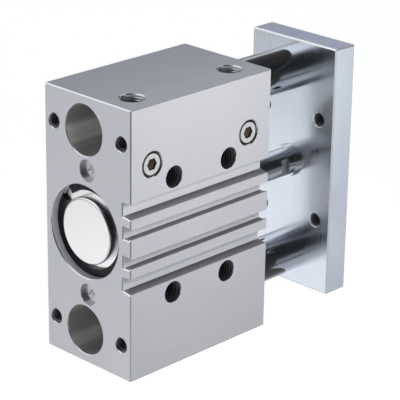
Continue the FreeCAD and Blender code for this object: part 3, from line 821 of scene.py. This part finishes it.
# ---------------------------------------------------------------- threads
@dataclass
class ThreadRun:
    """A set of like internal screw threads, cut from the same side.

    Attributes:
        name: Name of the piece.
        radius: Nominal radius, where the thread meets the wall.
        pitch: Distance from one turn to the next.
        start: Depth below the mouth where the thread begins.
        length: Threaded length.
        way: Direction in which the holes are entered.
        mouths: Centres of the holes' mouths.
    """

    name: str
    radius: float
    pitch: float
    start: float
    length: float
    way: Way
    mouths: list[Vector]

    CREST_SHARE = 0.125
    ROOT_SHARE = 0.94
    DEPTH_SHARE = 0.5413
    STEPS_PER_TURN = 40
    PROFILE_TURN = -math.pi / 2
    NUMBERS = ("Radius", "Turns", "Length", "Root Width", "Crest Width", "Depth")

    def build(self, material: bpy.types.Material) -> bpy.types.Object:
        """Sweep the thread in Geometry Nodes and turn it into a plain mesh.

        Args:
            material: Finish of the threads.

        Returns:
            The finished piece, at the origin.
        """
        points = bpy.data.meshes.new(self.name + "_points")
        first = self.start + self.ROOT_SHARE * self.pitch / 2
        points.from_pydata([mouth + self.way.vector * first for mouth in self.mouths], [], [])
        carrier = link_object(self.name + "_carrier", points)
        tree = self._tree()
        modifier = carrier.modifiers.new("thread", "NODES")
        modifier.node_group = tree
        depth = self.DEPTH_SHARE * self.pitch
        rise = self.length - self.ROOT_SHARE * self.pitch
        numbers = (self.radius - depth / 2, rise / self.pitch, rise, self.ROOT_SHARE * self.pitch,
                   self.CREST_SHARE * self.pitch, depth)
        values = {**dict(zip(self.NUMBERS, numbers)), "Material": material}
        for item in tree.interface.items_tree:
            if item.item_type == "SOCKET" and item.in_out == "INPUT" and item.name in values:
                modifier[item.identifier] = values[item.name]
        graph = bpy.context.evaluated_depsgraph_get()
        mesh = bpy.data.meshes.new_from_object(carrier.evaluated_get(graph), depsgraph=graph)
        carrier.modifiers.remove(modifier)
        bpy.data.objects.remove(carrier)
        mesh.name = self.name
        return link_object(self.name, mesh)

    def _tree(self) -> Tree:
        """Build the node tree that sweeps one thread at each point and sets its material.

        Returns:
            The tree.
        """
        tree = bpy.data.node_groups.new(self.name + "_tree", "GeometryNodeTree")
        add_sockets(tree, "INPUT", {"Geometry": "Geometry", **dict.fromkeys(self.NUMBERS, "Float"),
                                    "Material": "Material"})
        add_sockets(tree, "OUTPUT", {"Geometry": "Geometry"})
        source = add_node(tree, "NodeGroupInput").outputs
        spiral = add_node(tree, "GeometryNodeCurveSpiral", {
            "Resolution": self.STEPS_PER_TURN, "Rotations": source["Turns"],
            "Start Radius": source["Radius"], "End Radius": source["Radius"],
            "Height": source["Length"]})
        upright = add_node(tree, "GeometryNodeSetCurveNormal", {"Curve": spiral.outputs["Curve"]},
                           mode="Z_UP")
        profile = add_node(tree, "GeometryNodeCurvePrimitiveQuadrilateral", {
            "Offset": 0.0, "Height": source["Depth"], "Bottom Width": source["Root Width"],
            "Top Width": source["Crest Width"]}, mode="TRAPEZOID")
        turned = add_node(tree, "GeometryNodeTransform", {
            "Geometry": profile.outputs["Curve"], "Rotation": (0.0, 0.0, self.PROFILE_TURN)})
        sweep = add_node(tree, "GeometryNodeCurveToMesh", {
            "Curve": upright.outputs["Curve"], "Profile Curve": turned.outputs["Geometry"],
            "Fill Caps": True})
        heading = Vector((0.0, 0.0, 1.0)).rotation_difference(self.way.vector).to_euler()
        place = add_node(tree, "GeometryNodeInstanceOnPoints", {
            "Points": source["Geometry"], "Instance": sweep.outputs["Mesh"], "Rotation": heading})
        solid = add_node(tree, "GeometryNodeRealizeInstances", {"Geometry": place.outputs["Instances"]})
        paint = add_node(tree, "GeometryNodeSetMaterial", {
            "Geometry": solid.outputs["Geometry"], "Material": source["Material"]})
        add_node(tree, "NodeGroupOutput", {"Geometry": paint.outputs["Geometry"]})
        return tree


# ---------------------------------------------------------------- sub-assemblies
@dataclass
class Assembly:
    """What every sub-assembly shares: its body, its finishes and how it dresses its nodes.

    Attributes:
        frame: The loaded frame.
        finishes: Built materials by the name of their finish.
        body: Body that the sub-assembly moves with.
    """

    frame: dict
    finishes: dict[str, bpy.types.Material]
    body: str = "housing_unit"

    def dress(self, slots: dict[str, str]) -> None:
        """Give CAD nodes their finishes.

        Args:
            slots: Finish name for each node name.
        """
        for node, finish in slots.items():
            mesh = self.frame["nodes"][node].data
            mesh.materials.clear()
            mesh.materials.append(self.finishes[finish])
            LOG.info("%s is finished as %s", node, finish)

    @staticmethod
    def four_round(x: float, spacing: tuple[float, float]) -> list[Vector]:
        """Four points round the X axis, at spacings in Y and Z that are given in millimetres."""
        wide, tall = (value * MM / 2 for value in spacing)
        return [Vector((x, a * wide, b * tall)) for a in (-1, 1) for b in (-1, 1)]

    def add_threads(self, run: ThreadRun, finish: str, slot: str) -> None:
        """Cut one set of threads and let it move with the body.

        Args:
            run: The threads.
            finish: Name of their finish.
            slot: The record's material slot of the metal that they are cut in.
        """
        piece = run.build(self.finishes[finish])
        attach(piece, self.body)
        LOG.info("%s: %d threads in %s", run.name, len(run.mouths), slot)


@dataclass
class Housing(Assembly):
    """Anodised housing with its threaded holes, ports and side plugs.

    Sizes are in millimetres; where the faces lie is read from the housing's box.
    """

    rear_spacing: tuple[float, float] = (50.0, 110.0)
    rear_radius: float = 4.0
    rear_pitch: float = 1.25
    rear_length: float = 15.2
    side_first: float = 30.5
    side_spacing: tuple[float, float] = (40.0, 64.0)
    side_radius: float = 6.0
    side_pitch: float = 1.75
    side_length: float = 19.2
    port_radius: float = 6.58
    port_pitch: float = 1.337
    port_length: float = 10.8
    rear_port_x: float = 15.0
    front_port_inset: float = 16.6
    port_y: float = -17.3
    lead_in: float = 0.1

    def build(self) -> None:
        """Dress the housing and cut its threads."""
        self.dress({"housing": "anodised_aluminium", "rear_port_plug": "rear_plug_brass",
                    "front_port_plug": "front_plug_brass"})
        low, high = corners_of("housing")
        middle = (low + high) / 2
        self._cut("rear_threads", self.rear_radius, self.rear_pitch, self.rear_length, Way.FROM_REAR,
                  self.four_round(low.x, self.rear_spacing))
        half = self.side_spacing[1] * MM / 2
        places = [((self.side_first + step) * MM, side * half)
                  for step in (0.0, self.side_spacing[0]) for side in (-1, 1)]
        for name, y, way in (("side_threads", low.y, Way.FROM_SLOTTED_SIDE),
                             ("far_side_threads", high.y, Way.FROM_FAR_SIDE)):
            mouths = [Vector((x, y, middle.z + z)) for x, z in places]
            self._cut(name, self.side_radius, self.side_pitch, self.side_length, way, mouths)
        ports = (self.rear_port_x * MM, high.x - self.front_port_inset * MM)
        mouths = [Vector((x, self.port_y * MM, high.z)) for x in ports]
        self._cut("port_threads", self.port_radius, self.port_pitch, self.port_length, Way.FROM_TOP,
                  mouths, "port_thread_aluminium")

    def _cut(self, name: str, radius: float, pitch: float, length: float, way: Way,
             mouths: list[Vector], finish: str = "thread_aluminium") -> None:
        """Cut one set of threads into the housing.

        Args:
            name: Name of the threads.
            radius: Their radius, in millimetres.
            pitch: Rise of a turn, in millimetres.
            length: Length of the thread, in millimetres.
            way: Side that the holes start from.
            mouths: Middles of the holes' mouths.
            finish: Name of the threads' finish.
        """
        run = ThreadRun(name, radius * MM, pitch * MM, self.lead_in * MM, length * MM, way, mouths)
        self.add_threads(run, finish, "anodised_aluminium")


@dataclass
class CapsAndBushes(Assembly):
    """End caps, retaining rings, seals and bushes that stay in the housing."""

    def build(self) -> None:
        """Dress the caps, rings, seals and bushes."""
        self.dress({"rear_end_cap": "bright_aluminium", "front_bearing_cap": "turned_aluminium",
                    "rear_retaining_ring": "spring_steel", "front_retaining_ring": "spring_steel",
                    "rear_cap_seal": "nitrile_rubber", "front_cap_seal": "nitrile_rubber",
                    "rod_bush": "bronze", "rod_wiper": "nitrile_rubber"})
        for place in ("top", "bottom"):
            self.dress({f"inner_guide_bush_{place}": "bronze", f"front_guide_bush_{place}": "bronze",
                        f"guide_wiper_{place}": "nitrile_rubber"})


@dataclass
class PistonSet(Assembly):
    """Piston with its rings, cushions and nut."""

    body: str = "rod_unit"

    def build(self) -> None:
        """Dress the piston and all that it carries."""
        self.dress({"piston": "turned_aluminium", "piston_seals": "nitrile_rubber",
                    "piston_magnet": "ring_magnet", "piston_guide_ring": "guide_ring_plastic",
                    "rear_cushion_ring": "cushion_rubber", "front_cushion_ring": "cushion_rubber",
                    "piston_nut": "zinc_plated_steel", "piston_rod_seal": "nitrile_rubber"})


@dataclass
class Rods(Assembly):
    """Piston rod and guide rods."""

    body: str = "rod_unit"

    def build(self) -> None:
        """Dress the three rods."""
        self.dress({"piston_rod": "chrome_plated_steel", "guide_rod_top": "guide_rod_steel",
                    "guide_rod_bottom": "guide_rod_steel"})


@dataclass
class YokePlate(Assembly):
    """Yoke plate with its threaded holes and screws, sizes in millimetres."""

    body: str = "rod_unit"
    spacing: tuple[float, float] = (40.0, 60.0)
    radius: float = 4.0
    pitch: float = 1.25
    lead_in: float = 0.3

    def build(self) -> None:
        """Dress the plate and its screws and cut the plate's threads."""
        self.dress({"yoke_plate": "zinc_plated_steel", "yoke_screws": "blackened_steel"})
        low, high = corners_of("yoke_plate")
        length = high.x - low.x - 2 * self.lead_in * MM
        run = ThreadRun("plate_threads", self.radius * MM, self.pitch * MM, self.lead_in * MM,
                        length, Way.FROM_REAR, self.four_round(low.x, self.spacing))
        self.add_threads(run, "thread_steel", "zinc_plated_steel")


# ---------------------------------------------------------------- studio
@dataclass
class Studio:
    """Floor, light, surroundings and camera.

    Attributes:
        floor_size: Side of the square floor, in metres.
        floor_shade: Brightness of the floor as it lights the object.
        shadow_shade: Share of the seen floor that lamps light, so that a shadow shows.
        floor_glow: Light that the seen floor gives by itself.
        ambient: Colour of the light from all round.
        ambient_strength: Strength of that light below and overhead.
        ambient_span: Heights of the direction between which its strength changes.
        overhead_tint: Colour of the light from overhead.
        key_strength: Strength of the main lamp.
        key_azimuth: Where the main lamp shines from, in degrees from -Y towards -X.
        key_elevation: How high it stands, in degrees.
        key_spread: Apparent size of the lamp, in degrees.
        fill_strength: Strength of the level lamp behind the plate and the far side.
        fill_azimuth: Where that lamp shines from, counted as for the main lamp.
        fill_spread: Apparent size of that lamp, in degrees.
        panel_power: Power of the soft panel beside the slotted face, in watts.
        panel_place: Middle of the panel, in metres.
        panel_aim: Point that the panel faces.
        panel_size: Width and height of the panel, in metres.
        surroundings: What polished metal sees round the X axis, as pairs of the angle
            from +Y towards +Z in degrees and a brightness.
        rear_surroundings: The same for what lies behind the housing.
        surroundings_tint: Colour of both.
        join_span: Place along X of the direction, from the rear surroundings to the others.
        camera_position: Camera's place, in metres.
        camera_elevation: Height of the camera above the horizon, in degrees.
        camera_roll: Turn of the camera about its view, in degrees.
        lens: Focal length in millimetres on the default sensor.
    """

    floor_size: float = 8.0
    floor_shade: float = 0.8
    shadow_shade: float = 0.30
    floor_glow: float = 0.9
    ambient: RGB = (0.93, 0.955, 1.0)
    ambient_strength: tuple[float, float] = (0.37, 0.195)
    ambient_span: tuple[float, float] = (-0.2, 0.9)
    overhead_tint: RGB = (0.72, 0.85, 1.22)
    key_strength: float = 2.2
    key_azimuth: float = 74.0
    key_elevation: float = 4.0
    key_spread: float = 40.0
    fill_strength: float = 3.2
    fill_azimuth: float = -140.0
    fill_spread: float = 24.0
    panel_power: float = 0.35
    panel_place: RGB = (0.05, -0.215, 0.13)
    panel_aim: RGB = (0.05, -0.032, 0.02)
    panel_size: tuple[float, float] = (0.20, 0.08)
    surroundings: Stops = field(default_factory=lambda: [
        (-180.0, 0.03), (-150.0, 0.05), (-118.0, 0.07), (-90.0, 0.12), (-72.0, 0.35), (-50.0, 0.50),
        (-25.0, 0.32), (0.0, 0.33), (24.0, 0.26), (34.0, 0.75), (41.0, 0.12), (60.0, 0.05),
        (90.0, 0.03), (140.0, 0.02), (180.0, 0.03)])
    rear_surroundings: Stops = field(default_factory=lambda: [
        (-180.0, 0.06), (-169.0, 0.25), (-160.0, 0.42), (-156.5, 0.06), (-152.0, 0.03),
        (-147.0, 0.35), (-140.0, 0.50), (-110.0, 0.55), (-70.0, 0.85), (-36.0, 0.90),
        (-30.0, 1.08), (-27.5, 0.95), (-23.5, 0.36), (-8.0, 0.40), (15.0, 0.70), (35.0, 1.0),
        (80.0, 1.0), (94.0, 0.30), (106.0, 0.03), (150.0, 0.02), (180.0, 0.03)])
    surroundings_tint: RGB = (0.98, 0.99, 1.0)
    join_span: tuple[float, float] = (-0.3, 0.2)
    camera_position: RGB = (-0.6016, -0.6628, 0.3693)
    camera_azimuth: float = -45.91
    camera_elevation: float = 21.39
    camera_roll: float = 0.91
    lens: float = 169.3

    ZERO_SHARE = 0.5

    def build(self) -> None:
        """Make the floor, the world, the lamps and the camera."""
        self._floor()
        self._world()
        self._lamps()
        self._camera()
        LOG.info("studio is ready")

    def _floor(self) -> None:
        """White floor under the object that keeps a faint shadow."""
        low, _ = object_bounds()
        half = self.floor_size / 2
        mesh = bpy.data.meshes.new("floor")
        corners = [(-half, -half), (half, -half), (half, half), (-half, half)]
        mesh.from_pydata([(x, y, low[2]) for x, y in corners], [], [(0, 1, 2, 3)])
        floor = link_object("floor", mesh)
        floor.visible_glossy = False
        material = bpy.data.materials.new("floor_white")
        material.use_nodes = True
        tree = material.node_tree
        tree.nodes.clear()
        matt, faint = (add_node(tree, "ShaderNodeBsdfDiffuse", {"Color": rgba((shade, shade, shade))})
                       for shade in (self.floor_shade, self.shadow_shade))
        glow = add_node(tree, "ShaderNodeEmission", {"Strength": self.floor_glow})
        seen = add_node(tree, "ShaderNodeAddShader", {0: faint.outputs[0], 1: glow.outputs[0]})
        camera_ray = add_node(tree, "ShaderNodeLightPath").outputs["Is Camera Ray"]
        shown = mix_shaders(tree, camera_ray, matt, seen)
        add_node(tree, "ShaderNodeOutputMaterial", {"Surface": shown.outputs[0]})
        mesh.materials.append(material)
        floor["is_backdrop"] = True

    def _ramp(self, tree: Tree, angle: Socket, stops: Stops) -> Socket:
        """Add a ramp of brightness over an angle.

        Args:
            tree: The world's node tree.
            angle: Socket with the angle as a share of a full turn, counted from half a turn back.
            stops: Pairs of an angle in degrees and a brightness.

        Returns:
            The ramp's colour socket.
        """
        node = add_node(tree, "ShaderNodeValToRGB", {"Fac": angle})
        node.color_ramp.interpolation = "EASE"
        elements = node.color_ramp.elements
        while len(elements) > 1:
            elements.remove(elements[-1])
        for index, (degrees, value) in enumerate(stops):
            spot = degrees / FULL_TURN + self.ZERO_SHARE
            element = elements[0] if index == 0 else elements.new(spot)
            element.position = spot
            element.color = rgba(tuple(value * part for part in self.surroundings_tint))
        return node.outputs["Color"]

    def _world(self) -> None:
        """Plain light all round, white for the camera, and long panels for polished metal."""
        world = bpy.data.worlds.new("studio")
        bpy.context.scene.world = world
        world.use_nodes = True
        tree = world.node_tree
        tree.nodes.clear()
        paths = add_node(tree, "ShaderNodeLightPath").outputs
        x, y, z = split_vector(tree, add_node(tree, "ShaderNodeTexCoord").outputs["Generated"])
        turn = calculate(tree, "ARCTAN2", z, y)
        angle = calculate(tree, "MULTIPLY_ADD", turn, 1.0 / math.tau, self.ZERO_SHARE)
        side = rescale(tree, x, self.join_span, interpolation_type="SMOOTHSTEP")
        panels = mix(tree, Blend.COLOUR, side, self._ramp(tree, angle, self.rear_surroundings),
                     self._ramp(tree, angle, self.surroundings))
        tint = mix(tree, Blend.COLOUR, rescale(tree, z, (0.0, 1.0)), rgba(self.ambient),
                   rgba(self.overhead_tint))
        plain, mirrored, white = (
            add_node(tree, "ShaderNodeBackground", {"Color": colour, "Strength": strength})
            for colour, strength in (
                (tint, rescale(tree, z, self.ambient_span, self.ambient_strength)),
                (panels, 1.0), (rgba(EVEN), 1.0)))
        hidden = mix_shaders(tree, paths["Is Glossy Ray"], plain, mirrored)
        shown = mix_shaders(tree, paths["Is Camera Ray"], hidden, white)
        add_node(tree, "ShaderNodeOutputWorld", {"Surface": shown.outputs[0]})

    def _lamps(self) -> None:
        """Soft lamps before and behind, and a soft panel beside the slotted face."""
        for name, strength, azimuth, elevation, spread in (
                ("key", self.key_strength, self.key_azimuth, self.key_elevation, self.key_spread),
                ("fill", self.fill_strength, self.fill_azimuth, 0.0, self.fill_spread)):
            lamp = bpy.data.lights.new(name, "SUN")
            lamp.energy = strength
            lamp.angle = math.radians(spread)
            turn, rise = math.radians(azimuth), math.radians(elevation)
            source = Vector((-math.sin(turn) * math.cos(rise), -math.cos(turn) * math.cos(rise),
                             math.sin(rise)))
            self._hang(lamp, source, -source)
        panel = bpy.data.lights.new("side_panel", "AREA")
        panel.shape = "RECTANGLE"
        panel.size, panel.size_y = self.panel_size
        panel.energy = self.panel_power
        place = Vector(self.panel_place)
        self._hang(panel, place, Vector(self.panel_aim) - place)

    @staticmethod
    def _hang(light: bpy.types.Light, place: Vector, ahead: Vector) -> None:
        """Put a light in its place, unseen by the camera and by polished metal.

        Args:
            light: The light.
            place: Where it stands.
            ahead: Direction that it shines in.
        """
        holder = link_object(light.name, light)
        holder.location = place
        holder.rotation_euler = ahead.to_track_quat("-Z", "Y").to_euler()
        holder.visible_camera = False
        holder.visible_glossy = False

    def _camera(self) -> None:
        """Camera in its place, with its small roll."""
        data = bpy.data.cameras.new("camera")
        data.lens = self.lens
        holder = link_object("camera", data)
        azimuth, elevation = math.radians(self.camera_azimuth), math.radians(self.camera_elevation)
        ahead = Vector((-math.sin(azimuth) * math.cos(elevation),
                        math.cos(azimuth) * math.cos(elevation), -math.sin(elevation)))
        turn = ahead.to_track_quat("-Z", "Y").to_matrix().to_4x4()
        roll = Matrix.Rotation(math.radians(self.camera_roll), 4, "Z")
        holder.matrix_world = Matrix.Translation(self.camera_position) @ turn @ roll
        bpy.context.scene.camera = holder


# ---------------------------------------------------------------- finishes of this cylinder
def plug_finish(name: str, node: str) -> BlockFinish:
    """Nickel plated brass with painted shade on its rim and slanted faces, and a worn socket.

    Args:
        name: Name of the finish.
        node: Plug that wears it.

    Returns:
        The finish.
    """
    low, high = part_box(node)
    return BlockFinish(name, (0.86, 0.86, 0.84), (0.78, 0.78, 0.76), metallic=0.3, roughness=0.34,
                       size=1200.0, low=tuple(low), high=tuple(high), depth=0.00185, slot_reach=0.0,
                       inner=Zone((0.58, 0.52, 0.36), 0.8, 0.34),
                       # Painted shade: the dark edge look stands for the shaded gap round the plug.
                       edge=Zone((0.14, 0.14, 0.14), 0.8, 0.3), mouth=(0.0, -1.0, 0.0))


def build_finishes() -> dict[str, bpy.types.Material]:
    """Build every finish of the cylinder.

    Returns:
        The materials by the name of their finish.
    """
    rod_low, rod_high = corners_of("piston_rod")
    bore_axis = tuple((rod_low + rod_high) / 2)
    low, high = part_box("housing")
    plate_low, plate_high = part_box("yoke_plate")
    finishes = [
        # Painted shade in the housing's recesses, guide bores and tapped holes and on its slot walls;
        # painted light on its slot floors; painted sheen along its guide bores.
        BlockFinish("anodised_aluminium", (0.665, 0.662, 0.678), (0.625, 0.622, 0.638), metallic=0.1,
                    roughness=0.45, spread=0.06, size=700.0, relief=0.000008,
                    low=tuple(low), high=tuple(high), bore=Zone((0.50, 0.50, 0.49), 0.6, 0.3),
                    tap=Zone((0.10, 0.10, 0.105), 0.6, 0.4), ledge_shade=Zone((0.25, 0.25, 0.262), 0.3, 0.4),
                    ridge=Zone((0.62, 0.625, 0.645), 0.1, 0.4)),
        # Painted shade: the housing's threads are set far darker than the anodised skin, for the shade
        # in their holes.
        Finish("thread_aluminium", (0.22, 0.22, 0.225), (0.12, 0.12, 0.125), metallic=0.9,
               roughness=0.35, spread=0.1, size=1400.0),
        Finish("port_thread_aluminium", (0.90, 0.92, 0.95), (0.60, 0.62, 0.66), metallic=1.0,
               roughness=0.14, spread=0.1, size=1400.0),
        Finish("bright_aluminium", (0.97, 0.955, 0.965), (0.92, 0.905, 0.92), roughness=0.2,
               spread=0.08, texture=Texture.TURNED, size=1500.0, relief=0.000006, axis_point=bore_axis),
        Finish("turned_aluminium", (0.74, 0.74, 0.76), (0.62, 0.62, 0.64), roughness=0.3,
               texture=Texture.TURNED, size=1500.0, relief=0.00001, axis_point=bore_axis),
        PlateFinish("zinc_plated_steel", (0.86, 0.92, 0.98), (0.72, 0.79, 0.87), roughness=0.2,
                    spread=0.18, texture=Texture.BRUSHED, size=1600.0, relief=0.000014,
                    low=tuple(plate_low), high=tuple(plate_high)),
        Finish("chrome_plated_steel", (0.76, 0.77, 0.80), (0.72, 0.73, 0.76), roughness=0.08,
               spread=0.04, texture=Texture.GROUND, size=1800.0, relief=0.000002),
        Finish("guide_rod_steel", (0.74, 0.77, 0.82), (0.70, 0.73, 0.78), roughness=0.09,
               spread=0.04, texture=Texture.GROUND, size=1800.0, relief=0.000002),
        Finish("spring_steel", (0.035, 0.035, 0.04), (0.015, 0.015, 0.017), metallic=0.93,
               roughness=0.28, size=1200.0),
        Finish("blackened_steel", (0.07, 0.07, 0.075), (0.045, 0.045, 0.05), metallic=0.6,
               roughness=0.4, size=1200.0),
        # Painted shade: the plate's threads are set darker than the plate, for the shade in their holes.
        Finish("thread_steel", (0.26, 0.28, 0.31), (0.14, 0.15, 0.17), metallic=0.9, roughness=0.35,
               size=1400.0),
        plug_finish("rear_plug_brass", "rear_port_plug"),
        plug_finish("front_plug_brass", "front_port_plug"),
        Finish("bronze", (0.55, 0.37, 0.18), (0.42, 0.27, 0.12), roughness=0.42, size=1600.0),
        Finish("nitrile_rubber", (0.035, 0.035, 0.037), (0.02, 0.02, 0.022), metallic=0.0,
               roughness=0.6, size=1600.0),
        Finish("cushion_rubber", (0.05, 0.05, 0.06), (0.03, 0.03, 0.035), metallic=0.0,
               roughness=0.7, size=1600.0),
        Finish("ring_magnet", (0.08, 0.08, 0.085), (0.05, 0.05, 0.055), metallic=0.0,
               roughness=0.5, size=1600.0),
        Finish("guide_ring_plastic", (0.17, 0.13, 0.09), (0.12, 0.09, 0.06), metallic=0.0,
               roughness=0.5, size=1600.0),
    ]
    return {finish.name: finish.build() for finish in finishes}


def main() -> None:
    """Build the scene."""
    logging.basicConfig(level=logging.INFO, format="%(name)s: %(message)s")
    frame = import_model()
    finishes = build_finishes()
    for assembly in (Housing, CapsAndBushes, PistonSet, Rods, YokePlate):
        assembly(frame, finishes).build()
    Studio().build()
    bpy.context.scene.view_settings.view_transform = "Standard"


if __name__ == "__main__":
    main()
